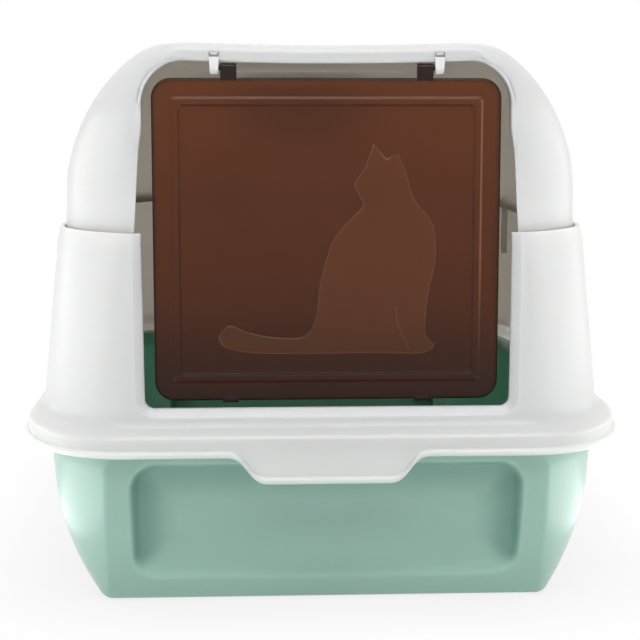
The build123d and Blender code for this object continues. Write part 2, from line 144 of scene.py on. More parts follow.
class HalfSheet:
    """The right half of a moulding's outside, gathered row by row and mirrored into a whole one."""

    def __init__(self):
        self.points = []
        self.faces = []
        self.last = []

    def row(self, points):
        first = len(self.points)
        self.points += [tuple(p) for p in points]
        return list(range(first, len(self.points)))

    def band(self, low, high, skip=()):
        for i in range(len(low) - 1):
            if i not in skip:
                self.faces.append((low[i], low[i + 1], high[i + 1], high[i]))

    def add(self, points, skip=()):
        """A new row, joined to the last one by a band."""
        index = self.row(points)
        self.band(self.last, index, skip)
        self.last = index
        return index

    def whole(self):
        points = list(self.points)
        twin = []
        for x, y, z in self.points:
            if abs(x) < 1e-6:
                twin.append(len(twin))
            else:
                twin.append(len(points))
                points.append((-x, y, z))
        faces = list(self.faces)
        faces += [tuple(twin[i] for i in reversed(face)) for face in self.faces]
        clean = []
        for face in faces:
            kept = [i for n, i in enumerate(face) if i != face[n - 1]]
            if len(set(kept)) >= 3:
                clean.append(kept)
        return points, clean


def piece(name, points, faces, material, slot_name, edge=0.0, wall=0.0):
    """A new object with its place in its mesh, and its edge and wall, all given in millimetres."""
    mesh = bpy.data.meshes.new(name)
    mesh.from_pydata([tuple(c * 0.001 for c in p) for p in points], [], faces)
    mesh.validate()
    mesh.shade_smooth()
    obj = bpy.data.objects.new(name, mesh)
    bpy.context.scene.collection.objects.link(obj)
    mesh.materials.append(material)
    if wall:
        shell = obj.modifiers.new("wall", "SOLIDIFY")
        shell.thickness = wall * 0.001
        shell.offset = -1
        shell.use_even_offset = True
        shell.use_quality_normals = True
    if edge:
        bevel = obj.modifiers.new("edges", "BEVEL")
        bevel.width = edge * 0.001
        bevel.segments = 2
        bevel.limit_method = "ANGLE"
        bevel.angle_limit = math.radians(sharp_angle)
    obj.modifiers.new("faces", "WEIGHTED_NORMAL")
    return obj


def colour_mix(tree, share, low, high):
    """A mix of two colours by a share. Each is a socket to link or a plain value."""
    node = tree.nodes.new("ShaderNodeMix")
    node.data_type = "RGBA"
    for number, given in ((0, share), (6, low), (7, high)):
        if isinstance(given, bpy.types.NodeSocket):
            tree.links.new(given, node.inputs[number])
        else:
            node.inputs[number].default_value = given
    return node.outputs[2]


def moulded_surface():
    """Shader group of a moulded plastic skin: slow drifts of colour and gloss, and a fine grain."""
    group = bpy.data.node_groups.new("moulded_surface", "ShaderNodeTree")
    face = group.interface
    for name in ("Colour", "Shade"):
        face.new_socket(name, in_out="INPUT", socket_type="NodeSocketColor")
    values = {"Drift Scale": 9.0, "Grain Scale": 700.0, "Gloss Low": 0.3, "Gloss High": 0.42}
    for name, value in values.items():
        face.new_socket(name, in_out="INPUT", socket_type="NodeSocketFloat").default_value = value
    face.new_socket("Colour", in_out="OUTPUT", socket_type="NodeSocketColor")
    face.new_socket("Roughness", in_out="OUTPUT", socket_type="NodeSocketFloat")
    face.new_socket("Height", in_out="OUTPUT", socket_type="NodeSocketFloat")
    nodes = group.nodes
    link = group.links.new
    given = nodes.new("NodeGroupInput")
    put = nodes.new("NodeGroupOutput")
    place = nodes.new("ShaderNodeTexCoord")
    drift = nodes.new("ShaderNodeTexNoise")
    drift.inputs["Detail"].default_value = 3.0
    link(place.outputs["Object"], drift.inputs["Vector"])
    link(given.outputs["Drift Scale"], drift.inputs["Scale"])
    tint = colour_mix(group, drift.outputs["Fac"], given.outputs["Colour"], given.outputs["Shade"])
    grain = nodes.new("ShaderNodeTexNoise")
    grain.inputs["Detail"].default_value = 2.0
    link(place.outputs["Object"], grain.inputs["Vector"])
    link(given.outputs["Grain Scale"], grain.inputs["Scale"])
    gloss = nodes.new("ShaderNodeMapRange")
    link(drift.outputs["Fac"], gloss.inputs["Value"])
    link(given.outputs["Gloss Low"], gloss.inputs["To Min"])
    link(given.outputs["Gloss High"], gloss.inputs["To Max"])
    link(tint, put.inputs["Colour"])
    link(gloss.outputs["Result"], put.inputs["Roughness"])
    link(grain.outputs["Fac"], put.inputs["Height"])
    return group


moulded_group = moulded_surface()


def moulded_plastic(name, colour, shade, low, high, grain, bump=0.06, depth=0.0004, **plain):
    """A plastic with the moulded skin. Plain values go on the shader's own sockets."""
    material = bpy.data.materials.new(name)
    material.use_nodes = True
    nodes = material.node_tree.nodes
    link = material.node_tree.links.new
    shader = nodes["Principled BSDF"]
    skin = nodes.new("ShaderNodeGroup")
    skin.node_tree = moulded_group
    given = {"Colour": colour, "Shade": shade, "Gloss Low": low, "Gloss High": high, "Grain Scale": grain}
    for socket, value in given.items():
        skin.inputs[socket].default_value = value
    relief = nodes.new("ShaderNodeBump")
    relief.inputs["Strength"].default_value = bump
    relief.inputs["Distance"].default_value = depth
    link(skin.outputs["Colour"], shader.inputs["Base Color"])
    link(skin.outputs["Roughness"], shader.inputs["Roughness"])
    link(skin.outputs["Height"], relief.inputs["Height"])
    link(relief.outputs["Normal"], shader.inputs["Normal"])
    for socket, value in plain.items():
        shader.inputs[socket.replace("_", " ")].default_value = value
    return material


def tint_by_mask(material, mask, colour):
    """Lays a colour over a material where a mask stored on the mesh says so."""
    tree = material.node_tree
    under = tree.nodes["Principled BSDF"].inputs["Base Color"]
    stored = tree.nodes.new("ShaderNodeAttribute")
    stored.attribute_name = mask
    over = colour_mix(tree, stored.outputs["Fac"], under.links[0].from_socket, colour)
    tree.links.new(over, under)


mint_plastic = moulded_plastic(
    "mint_plastic", mint_colour, mint_shade, low=0.3, high=0.4, grain=650.0,
    Subsurface_Weight=0.72, Subsurface_Radius=(0.85, 1.0, 0.92), Subsurface_Scale=0.008,
    Coat_Weight=0.35, Coat_Roughness=0.22)
# Painted shade on the walls of each end panel, darker than the mint.
tint_by_mask(mint_plastic, "panel_wall_painted_shade", panel_painted_shade_colour)


def tray_level(share):
    """The tray's outline a share of the way up: the sides bulge out fast, the ends more slowly."""
    side = 1 - (1 - share) ** side_power
    end = 1 - (1 - share) ** end_power
    mix = tray_foot + (tray_mouth - tray_foot) * np.array([side, end, side, side, side])
    mix[2] += rim_corner_growth * smooth(*rim_growth_shares, share)
    return np.concatenate([[tray_height * share], mix])


def panel_edge_gap(x, z):
    """How far a place is outside the panel's edge, and how much nearer to its side than to its head."""
    middle = (panel_top_z + panel_foot_z) / 2
    across = abs(x) - panel_half_width + panel_corner
    along = abs(z - middle) - (panel_top_z - panel_foot_z) / 2 + panel_corner
    out = math.hypot(max(across, 0), max(along, 0)) + min(max(across, along), 0) - panel_corner
    return out, across - along


def end_panel_sink(x, z):
    """How far the panel is pressed in at a place on an end wall."""

    def wall(at_z):
        rise = 1 - (1 - at_z / tray_height) ** end_power
        return tray_foot[1] + (tray_mouth[1] - tray_foot[1]) * rise

    floor_top = wall(panel_top_z) - panel_depth
    floor_foot = wall(panel_foot_z) - panel_foot_depth
    floor = floor_foot + (floor_top - floor_foot) * (z - panel_foot_z) / (panel_top_z - panel_foot_z)
    out, _ = panel_edge_gap(x, z)
    steep = 1 - smooth(*panel_steep, out)
    gentle = 1 - smooth(*panel_gentle, out)
    slope = steep_share * steep + (1 - steep_share) * gentle
    foot_fade = foot_share + (1 - foot_share) * smooth(panel_foot_z, panel_foot_z + foot_run, z)
    return max(0.0, wall(z) - floor) * slope * foot_fade


def on_panel(y, z):
    """Whether a place is on an end wall, at the height of the panel."""
    return abs(y) > end_wall_y and panel_foot_z - panel_margin < z < panel_top_z + panel_margin


tray_front_x = np.concatenate([np.linspace(0, 104, 14), np.linspace(108, 141, 28)])
tray = HalfSheet()
foot_level = tray_level(0.0)
rows = []
for share in foot_shares:
    rows.append((foot_level * share, tray_front_x * share))
turn = rounded([foot_level * turn_share, foot_level, tray_level(wall_shares[0])], [foot_turn], 9)
for level in turn[:-1]:
    rows.append((level, tray_front_x * min(1.0, level[1] / foot_level[1])))
top_share = 1 - tray_wall / tray_height
for share in np.linspace(*wall_shares, 46):
    rows.append((tray_level(share), tray_front_x))
shoulder = tray_level(top_share)
lip = shoulder + np.array([0, tray_rim, tray_rim, 0, tray_rim, tray_rim])
for level in rounded([tray_level(wall_shares[1]), shoulder, lip], [rim_turn], 5)[1:]:
    rows.append((level, tray_front_x))
for level, xs in rows:
    points = outline(level, xs, xs)
    for p in points:
        if on_panel(p[1], p[2]):
            p[1] -= math.copysign(end_panel_sink(p[0], p[2]), p[1])
    index = tray.add(points)
    if not tray.faces:
        tray.faces.append(tuple(reversed(index)))
tray_piece = piece(
    "litter_tray_moulding", *tray.whole(), mint_plastic, "mint_plastic", tray_edge, tray_wall)
# Painted shade: a band just inside the panel's edge, strongest at its sides, weaker at its head and fading
# out at its foot.
panel_wall_painted_shade = tray_piece.data.attributes.new("panel_wall_painted_shade", "FLOAT", "POINT")
for n, vertex in enumerate(tray_piece.data.vertices):
    x, y, z = vertex.co * 1000
    if on_panel(y, z):
        out, sideways = panel_edge_gap(x, z)
        rise = z - panel_foot_z
        band = (1 - smooth(*shade_edge, out)) * smooth(*shade_run, out)
        head = shade_head * smooth(*shade_head_rise, rise)
        strength = head + (shade_side - head) * smooth(-shade_turn, shade_turn, sideways)
        panel_wall_painted_shade.data[n].value = band * strength * smooth(0.0, shade_foot_rise, rise)
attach(tray_piece, "tray")
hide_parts("litter_tray")

# Lower hood. One white polypropylene moulding, 2.4 mm thick, that drops over the tray's rim: a flared
# skirt with a rolled edge and a hanging grip tongue at each end, a sloping ledge, and upright walls.
# The wall rolls inwards round the doorway, and ribs inside stand on the rim and hold the hood top up.
hood_wall = 2.4
collar_level = np.array([244.5, 177.5, 250.0, 57.0, 95.0, 9.0])
neck_level = np.array([236.5, 179.5, 252.0, 57.0, 95.0, 9.0])
ledge_level = np.array([125.0, 191.3, 259.0, 68.5, 108.0, 26.0])
ridge_level = np.array([117.5, 200.3, 268.0, 73.0, 108.0, 40.0])
tongue_level = np.array([88.5, 203.6, 271.3, 73.0, 108.0, 40.0])
skirt_edge_z = 105.0
tongue_z = 88.5
tongue_half = 38.5
tongue_slope = 25.5
bead_width = 2.0
bead_height = 4.5
sill_z = 134.5
sill_half = 115.5
doorway_lean = 1.5
doorway_corner = 6.0
roll_width = 6.0
roll_depth = 4.5
roll_shape = (
    (0.04, 0.01), (0.1, 0.05), (0.18, 0.13), (0.5, 0.42), (0.8, 0.68), (0.9, 0.78), (0.97, 0.88), (1.0, 1.0))
hood_edge = 0.7
skirt_flare = 3.3
skirt_end_y = 250.0
flare_share = 0.4
bead_steps = (0.0, 0.12, 0.45, 1.0, 1.7, 2.4, 3.1, 3.7, 4.15, 4.42)
bead_top = 4.8
ridge_round = 3.0
ledge_round = 5.0
neck_round = 6.0
sill_levels = (128.5, 132.5, 136.5, 140.5)
wall_rise = (0.22, 0.9)
slack = 0.01
white_colour = (0.765, 0.745, 0.715, 1.0)
white_shade = (0.745, 0.725, 0.695, 1.0)
white_plastic = moulded_plastic(
    "white_plastic", white_colour, white_shade, low=0.26, high=0.36, grain=650.0,
    Subsurface_Weight=0.85, Subsurface_Radius=(1.0, 0.9, 0.78), Subsurface_Scale=0.012,
    Specular_IOR_Level=0.35, Coat_Weight=0.15, Coat_Roughness=0.16)


def skirt_edge(x):
    """Height of the skirt's lower edge, with the tongue's soft S at each side."""
    s = np.linspace(0, 1, 60)
    along = tongue_half + tongue_slope * (1.5 * s * (1 - s) ** 2 + 1.5 * s**2 * (1 - s) + s**3)
    height = tongue_z + (skirt_edge_z - tongue_z) * (3 * s**2 - 2 * s**3)
    return np.interp(np.abs(x), along, height)


def doorway_side(z):
    """Half width of the line where the wall starts to roll into the doorway."""
    return sill_half + roll_width + doorway_lean * max(0.0, z - sill_z) / (collar_level[0] - sill_z)


def skirt_row(z_of, bead_of):
    """A row of the skirt whose height and bead depend on the height of the edge below it."""
    base = outline(ridge_level + (tongue_level - ridge_level) * flare_share, front_x, front_x)
    ends = np.abs(base[:, 1]) > skirt_end_y
    edge = np.where(ends, skirt_edge(base[:, 0]), skirt_edge_z)
    height = np.array([z_of(e) for e in edge])
    flare = skirt_flare * (ridge_level[0] - height) / (ridge_level[0] - tongue_z)
    steps = np.gradient(base[:, :2], axis=0)
    steps[0] = (1, 0)
    steps[-1] = (-1, 0)
    away = np.stack([steps[:, 1], -steps[:, 0]], axis=1)
    away /= np.linalg.norm(away, axis=1)[:, None]
    ridge_row = outline(ridge_level, front_x, front_x)
    bead = np.array([bead_of(h - e) for h, e in zip(height, edge)])
    out = ridge_row.copy()
    out[:, :2] += away * (flare + bead)[:, None]
    out[0, 0] = out[-1, 0] = 0.0
    out[:, 2] = height
    return out


front_x = np.concatenate(
    [[0, 10, 20, 30, 36], np.linspace(38.5, 64, 14), [72, 82, 92, 101, 109.5, 113.5, 117.5, 121.5, 124.5]]
)
door_column = len(front_x) - 2
base = HalfSheet()
low_turn = ridge_round / np.linalg.norm((tongue_level - ridge_level)[:2])
skirt_top = ridge_level + (tongue_level - ridge_level) * low_turn
skirt_top_z = skirt_top[0]


def bead_round(h):
    """How far the rolled edge stands out at a height above the edge."""
    if h >= bead_height:
        return 0.0
    return bead_width * math.sqrt(max(0.0, 1 - (2 * h / bead_height - 1) ** 2))


for h in bead_steps:
    base.add(skirt_row(lambda edge: edge + h, bead_round))
for share in np.linspace(0, 1, 6):
    base.add(skirt_row(lambda edge: (edge + bead_top) * (1 - share) + skirt_top_z * share, bead_round))
upper = rounded([skirt_top, ridge_level, ledge_level, neck_level], [ridge_round, ledge_round], 8)[2:-1]
wall_foot = upper[-1]
for z in sill_levels:
    if z > wall_foot[0]:
        share = (z - ledge_level[0]) / (neck_level[0] - ledge_level[0])
        upper.append(ledge_level + (neck_level - ledge_level) * share)
ladder = [ledge_level + (neck_level - ledge_level) * t for t in np.linspace(*wall_rise, 12)]
crest = rounded([ladder[-1], neck_level, collar_level], [neck_round], 7)[1:]
upper += ladder + crest
heights = np.array([level[0] for level in upper])
lengths = np.array([level[2] for level in upper])
sill_row_z = min(heights[heights >= sill_z - roll_width - slack])
side_boundary = []
for level in upper:
    z = level[0]
    xs = front_x.copy()
    xs[door_column] = doorway_side(z)
    beside_doorway = z > sill_row_z + slack
    index = base.add(outline(level, xs, front_x), range(door_column) if beside_doorway else ())
    if beside_doorway:
        side_boundary.append(index[door_column])
    else:
        sill_row = index
corner_radius = doorway_corner + roll_width
corner_top = [i for i in side_boundary if base.points[i][2] > sill_row_z + corner_radius - slack]
corner_side = [i for i in side_boundary if i not in corner_top]
centre = (front_x[door_column] - corner_radius, sill_row_z + corner_radius)
arc = []
for cos, sin in turns(np.linspace(0, 90, 13)[1:-1]):
    z = centre[1] - corner_radius * cos
    arc.append((centre[0] + corner_radius * sin, -np.interp(z, heights, lengths), z))
arc_index = base.row(arc)
arc_start = [i for i in sill_row[: door_column + 1] if base.points[i][0] <= centre[0] + slack]
corner_row = [i for i in sill_row[: door_column + 1] if i not in arc_start]
base.faces.append(tuple([arc_start[-1]] + corner_row + corner_side + [corner_top[0]] + arc_index[::-1]))
mouth_loop = arc_start + arc_index + corner_top
inwards = [(0.0, 1.0)] * len(arc_start)
inwards += [((centre[0] - p[0]) / corner_radius, (centre[1] - p[2]) / corner_radius) for p in arc]
inwards += [(-1.0, 0.0)] * len(corner_top)
base.last = mouth_loop
for across, into in roll_shape:
    slide = roll_width * across
    sink = roll_depth * into
    moved = []
    for i, (dx, dz) in zip(mouth_loop, inwards):
        x, y, z = base.points[i]
        lean = (np.interp(z + dz * slide, heights, lengths) - np.interp(z, heights, lengths)) * abs(dz)
        moved.append((x + dx * slide, y - lean + sink, z + dz * slide))
    base.add(moved)
base_piece = piece(
    "hood_base_moulding", *base.whole(), white_plastic, "white_plastic", hood_edge, hood_wall)
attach(base_piece, "hood")
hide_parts("hood_base")
small_white_plastic = moulded_plastic(
    "white_plastic_small", white_colour, white_shade, low=0.26, high=0.36, grain=650.0)
thin_white_plastic = moulded_plastic(
    "white_plastic_thin", white_colour, white_shade, low=0.5, high=0.6, grain=650.0,
    Transmission_Weight=0.8, IOR=1.1)


def rib_row_tree():
    """Geometry nodes: a straight row of like ribs, set by its start, step, count and rib size."""
    tree = bpy.data.node_groups.new("rib_row", "GeometryNodeTree")
    face = tree.interface
    for name, kind in (
        ("Start", "NodeSocketVector"),
        ("Step", "NodeSocketVector"),
        ("Count", "NodeSocketInt"),
        ("Size", "NodeSocketVector"),
        ("Material", "NodeSocketMaterial"),
    ):
        face.new_socket(name, in_out="INPUT", socket_type=kind)
    face.new_socket("Ribs", in_out="OUTPUT", socket_type="NodeSocketGeometry")
    nodes = tree.nodes
    link = tree.links.new
    given = nodes.new("NodeGroupInput")
    put = nodes.new("NodeGroupOutput")
    line = nodes.new("GeometryNodeMeshLine")
    line.mode = "OFFSET"
    link(given.outputs["Count"], line.inputs["Count"])
    link(given.outputs["Start"], line.inputs["Start Location"])
    link(given.outputs["Step"], line.inputs["Offset"])
    rib = nodes.new("GeometryNodeMeshCube")
    link(given.outputs["Size"], rib.inputs["Size"])
    spread = nodes.new("GeometryNodeInstanceOnPoints")
    link(line.outputs["Mesh"], spread.inputs["Points"])
    link(rib.outputs["Mesh"], spread.inputs["Instance"])
    real = nodes.new("GeometryNodeRealizeInstances")
    link(spread.outputs["Instances"], real.inputs["Geometry"])
    finish = nodes.new("GeometryNodeSetMaterial")
    link(real.outputs["Geometry"], finish.inputs["Geometry"])
    link(given.outputs["Material"], finish.inputs["Material"])
    link(finish.outputs["Geometry"], put.inputs["Ribs"])
    return tree


rib_tree = rib_row_tree()


def rib_rows(name, rows, material, slot_name, body):
    """Several rows of ribs, made by the rib tree and kept as one plain piece on a body."""
    points = []
    faces = []
    for start, step, count, size in rows:
        holder = bpy.data.objects.new("rib_holder", bpy.data.meshes.new("rib_holder"))
        bpy.context.scene.collection.objects.link(holder)
        maker = holder.modifiers.new("ribs", "NODES")
        maker.node_group = rib_tree
        values = {"Start": start, "Step": step, "Count": count, "Size": size, "Material": material}
        for item in rib_tree.interface.items_tree:
            if item.in_out == "INPUT":
                maker[item.identifier] = values[item.name]
        graph = bpy.context.evaluated_depsgraph_get()
        made = bpy.data.meshes.new_from_object(holder.evaluated_get(graph))
        first = len(points)
        points += [tuple(v.co) for v in made.vertices]
        faces += [tuple(first + i for i in p.vertices) for p in made.polygons]
        bpy.data.objects.remove(holder)
        bpy.data.meshes.remove(made)
    obj = piece(name, points, faces, material, slot_name, rib_edge)
    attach(obj, body)


rib_edge = 0.4
rib_thick = 2.4
rib_count = 3
rim_rib_width = 10.0
rim_rib_height = 9.0
rim_rib_foot = 110.2
rim_rib_z = rim_rib_foot + rim_rib_height / 2
rim_rib_x, rim_rib_y = 185.0, 257.5
stop_rib_width = 5.0
stop_rib_height = 40.0
stop_rib_head = 237.3
stop_rib_z = stop_rib_head - stop_rib_height / 2
stop_rib_x, stop_rib_y = 174.4, 246.9
long_step = (0, 120, 0)
short_step = (60, 0, 0)
rim_side = (rim_rib_width, rib_thick, rim_rib_height)
rim_end = (rib_thick, rim_rib_width, rim_rib_height)
stop_side = (stop_rib_width, rib_thick, stop_rib_height)
stop_end = (rib_thick, stop_rib_width, stop_rib_height)
hood_ribs = []
for side in (-1, 1):
    hood_ribs.append(((side * rim_rib_x, -long_step[1], rim_rib_z), long_step, rib_count, rim_side))
    hood_ribs.append(((-short_step[0], side * rim_rib_y, rim_rib_z), short_step, rib_count, rim_end))
    hood_ribs.append(((side * stop_rib_x, -long_step[1], stop_rib_z), long_step, rib_count, stop_side))
hood_ribs.append(((-short_step[0], stop_rib_y, stop_rib_z), short_step, rib_count, stop_end))
rib_rows("hood_base_ribs", hood_ribs, thin_white_plastic, "white_plastic", "hood")

# Hood top. A second white moulding that nests in the lower hood's collar: upright foot, arched shoulders
# and a roof that dips a little in the middle of its front edge. A lip turns in round the doorway's head,
# with a notch and a small window for each hinge clip. Three slots in the back wall feed the filter.
top_edge_z = 237.5
shoulder_z = 270.0
roof_z = 365.5
crown_z = 358.0
crown_round = 4.0
crown_turn = 83.0
crown_run = 60.0
roof_dip = 2.2
brow_z = 354.0
brow_radius = 30.0
brow_side = 118.0
cheek_foot = 122.0
lip_foot_z = 298.0
lip_width = 1.9
lip_depth = 9.0
window_x = (67.4, 73.6)
window_z = (354.9, 357.8)
vent_z = (306.5, 348.5)
vent_gaps = (2, 7)
top_half = 174.3
top_length = 246.8
top_lean = 3.2
roof_half = 100.0
arch_power = 1.7
foot_corner = (57.0, 95.0, 9.0)
corner_loss = (32.0, 35.0)
front_reach = 90.0
cheek_least = 1.0
back_reach = (97.0, 112.0)
corner_z = brow_z - brow_radius
crown_shares = (0.06, 0.14, 0.24, 0.36, 0.5, 0.64, 0.78, 0.9, 1.0)
roof_shares = (0.96, 0.9, 0.82, 0.72, 0.6, 0.46, 0.3, 0.12)
lip_angles = (18, 36, 54, 72, 90)
lip_middle = 6.0
lip_start = 0.15
lip_growth = 12.0
dip_run = (-160.0, 40.0)
dip_rise = (346.0, 352.0)


def top_level(z):
    """The hood top's outline at a height."""
    climb = max(0.0, (z - shoulder_z) / (roof_z - shoulder_z))
    arch = max(0.0, 1 - climb**arch_power) ** (1 / arch_power)
    lean = top_lean * (z - top_edge_z) / (roof_z - top_edge_z)
    half = roof_half + (top_half - lean - roof_half) * arch
    width, depth, nose = foot_corner
    return np.array(
        [z, half, top_length - lean, width - corner_loss[0] * climb, depth - corner_loss[1] * climb, nose]
    )


def brow_edge(z):
    """Half width of the doorway in the hood top at a height."""
    if z <= lip_foot_z:
        return cheek_foot + (brow_side - cheek_foot) * (z - top_edge_z) / (lip_foot_z - top_edge_z)
    rise = max(0.0, z - brow_z + brow_radius)
    return brow_side - brow_radius + math.sqrt(max(0.0, brow_radius**2 - rise**2))


def wrap_start(z):
    """Where the wall beside the doorway ends and the hood's corner takes over."""
    level = top_level(z)
    return max(level[1] - level[3], brow_edge(min(z, brow_z)) + cheek_least)


brow_columns = np.array([0, 8, 16, 24, 32, 40, 48, 56, 62, window_x[0], window_x[1], 80, 88.0])
vent_columns = np.array([0, 3.75, 12, 20, 29, 37.25, 44.75, 52, 60, 70, 80, 90.0])
window_column = list(brow_columns).index(window_x[0])
low_z = [top_edge_z, 239, 242, 246, 250, 256, 262, 268, 275, 283, 291, lip_foot_z, 302, vent_z[0]]
low_z += [311, 315, 319.5, corner_z]
mid_z = [329, 334, 339, 343.5, vent_z[1], 351.5]


def back_columns(level):
    """The x of the columns on the back wall, out to where its corner starts."""
    return np.append(vent_columns, max(back_reach[0], min(level[1] - level[3], back_reach[1])))


top = HalfSheet()
upright = []
for z in low_z + mid_z:
    level = top_level(z)
    points = outline(level, np.array([wrap_start(z)]), back_columns(level))
    if z <= corner_z:
        points = np.vstack([[(brow_edge(z), points[0][1], z)], points])
    else:
        points = np.vstack([points[:1], points])
    skip = {0} if z > corner_z + slack else set()
    if upright and vent_z[0] - slack < upright[-1][0] and z < vent_z[1] + slack:
        skip |= {len(points) - gap for gap in vent_gaps}
    upright.append((z, top.add(points, skip)))
bezel = []
lead = len(brow_columns)
for z in (brow_z, window_z[0], window_z[1], crown_z):
    level = top_level(z)
    xs = np.append(brow_columns, max(level[1] - level[3], front_reach))
    index = top.row(outline(level, xs, back_columns(level)))
    if bezel:
        skip = {window_column} if z == window_z[1] else set()
        top.band(bezel[-1], index, skip)
    else:
        top.band(upright[-1][1][1:], index[lead:])
    bezel.append(index)
top.last = bezel[-1]
crown_flat = top_level(crown_z)[1] - top_level(crown_z)[3]
crown_turns = turns(np.linspace(0, crown_turn, 9)[1:])
crown_steps = [(crown_z + crown_round * sin, crown_round * (1 - cos)) for cos, sin in crown_turns]
rise_z, rise_run = crown_steps[-1]
for t in crown_shares:
    crown_steps.append((rise_z + (roof_z - rise_z) * t * (2 - t), rise_run + (crown_run - rise_run) * t))
for z, run in crown_steps:
    level = top_level(z)
    level[2] -= run
    flat = level[1] - level[3]
    xs = np.append(brow_columns, max(crown_flat, front_reach)) * flat / crown_flat
    back_xs = np.append(vent_columns, back_reach[0]) * flat / crown_flat
    top.add(outline(level, xs, back_xs))
ring = np.array([top.points[i] for i in top.last])
for share in roof_shares:
    top.add(ring * np.array([share, share, 1.0]))
top.faces.append(tuple(top.last))
arc = []
for cos, sin in turns(np.linspace(0, 90, 19)[1:-1]):
    z = corner_z + brow_radius * sin
    arc.append((brow_side - brow_radius + brow_radius * cos, -top_level(z)[2], z))
arc_index = top.row(arc)
joint = [index for z, index in upright if abs(z - corner_z) < slack][0]
climb = [index[1] for z, index in upright if z > corner_z + slack]
top.faces.append(tuple([joint[0], joint[1]] + climb + [bezel[0][lead], bezel[0][lead - 1]] + arc_index[::-1]))
lip_side = [index[0] for z, index in upright if lip_foot_z - slack < z < corner_z + slack]
lip_loop = lip_side + arc_index + bezel[0][:lead][::-1]
middle = (brow_side - brow_radius, corner_z)
inwards = [(-1.0, 0.0)] * len(lip_side)
inwards += [((middle[0] - p[0]) / brow_radius, (middle[1] - p[2]) / brow_radius) for p in arc]
inwards += [(0.0, -1.0)] * lead
notch = {len(lip_side) + len(arc) + lead - 2 - window_column}
lip_steps = [(lip_width * sin, lip_width * (1 - cos)) for cos, sin in turns(lip_angles)]
top.last = lip_loop
for slide, sink in lip_steps + [(lip_width, lip_middle), (lip_width, lip_depth)]:
    moved = []
    for i, (dx, dz) in zip(lip_loop, inwards):
        x, y, z = top.points[i]
        full = lip_start + (1 - lip_start) * smooth(lip_foot_z, lip_foot_z + lip_growth, z)
        moved.append((x + dx * slide * full, y + sink, z + dz * slide * full))
    top.add(moved, notch)
top_points, top_faces = top.whole()
dipped = []
for x, y, z in top_points:
    near = 1 - smooth(*dip_run, y)
    dip = roof_dip * near * max(0.0, 1 - (x / roof_half) ** 2) * smooth(*dip_rise, z)
    dipped.append((x, y, z - dip))
top_piece = piece(
    "hood_top_moulding", dipped, top_faces, white_plastic, "white_plastic", hood_edge, hood_wall)
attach(top_piece, "top")
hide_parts("hood_top")

# Hinge clips. Two small sockets moulded in natural milky polypropylene, pushed up into the brow until
# their barbs snap into the windows. The flap's pivots turn in them.
clip_x = 70.5
clip_width = 7.0
clip_foot_share = 0.74
clip_z = (343.2, 357.6)
pivot_y = -240.5
pivot_z = 347.4
socket_radius = 4.2
socket_head = 353.9
stem_box = ((-241.0, 351.0), (-238.0, clip_z[1]))
barb_box = ((-243.4, 355.2), (-238.2, clip_z[1]))
barb_inset = 0.8
small_edge = 0.6
natural_plastic = moulded_plastic(
    "natural_plastic", (0.78, 0.78, 0.76, 1.0), (0.72, 0.72, 0.7, 1.0),
    low=0.22, high=0.34, grain=900.0, bump=0.04)


def prism(profile, x_from, x_to, first=0):
    """A closed bar along X from a profile of y and z, as points and faces numbered from first."""
    count = len(profile)
    points = [(x_from, y, z) for y, z in profile] + [(x_to, y, z) for y, z in profile]
    area = sum(profile[i - 1][0] * profile[i][1] - profile[i][0] * profile[i - 1][1] for i in range(count))
    faces = [tuple(range(count))[::-1], tuple(range(count, 2 * count))]
    faces += [(i, (i + 1) % count, (i + 1) % count + count, i + count) for i in range(count)]
    if area < 0:
        faces = [face[::-1] for face in faces]
    return points, [tuple(first + i for i in face) for face in faces]


def gathered(parts):
    """Several closed bars as one list of points and faces."""
    points = []
    faces = []
    for profile, x_from, x_to in parts:
        more, sides = prism(profile, x_from, x_to, len(points))
        points += more
        faces += sides
    return points, faces


def box_profile(low, high):
    """A rectangle of y and z between two corners."""
    return [(low[0], low[1]), (high[0], low[1]), (high[0], high[1]), (low[0], high[1])]


def arc_profile(y, z, radius, start, end, steps):
    """Points on a circle in y and z."""
    return [(y + radius * cos, z + radius * sin) for cos, sin in turns(np.linspace(start, end, steps))]


def round_profile(y, z, radius):
    """A whole circle in y and z."""
    return arc_profile(y, z, radius, 0, 345, 24)


for side, word in ((-1, "left"), (1, "right")):
    inner, outer = sorted((side * (clip_x - clip_width / 2), side * (clip_x + clip_width / 2)))
    socket = arc_profile(pivot_y, pivot_z, socket_radius, 180, 360, 15)
    socket += [(pivot_y + socket_radius, socket_head), (pivot_y - socket_radius, socket_head)]
    parts = [
        (socket, inner, outer),
        (box_profile(*stem_box), inner, outer),
        (box_profile(*barb_box), inner + barb_inset, outer - barb_inset),
    ]
    clip_points, clip_faces = gathered(parts)
    tapered = []
    for x, y, z in clip_points:
        share = clip_foot_share + (1 - clip_foot_share) * smooth(*clip_z, z)
        tapered.append((side * clip_x + (x - side * clip_x) * share, y, z))
    clip_name = f"hinge_clip_{word}_moulding"
    clip = piece(clip_name, tapered, clip_faces, natural_plastic, "natural_plastic", small_edge)
    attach(clip, "top")
    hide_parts(f"hinge_clip_{word}")

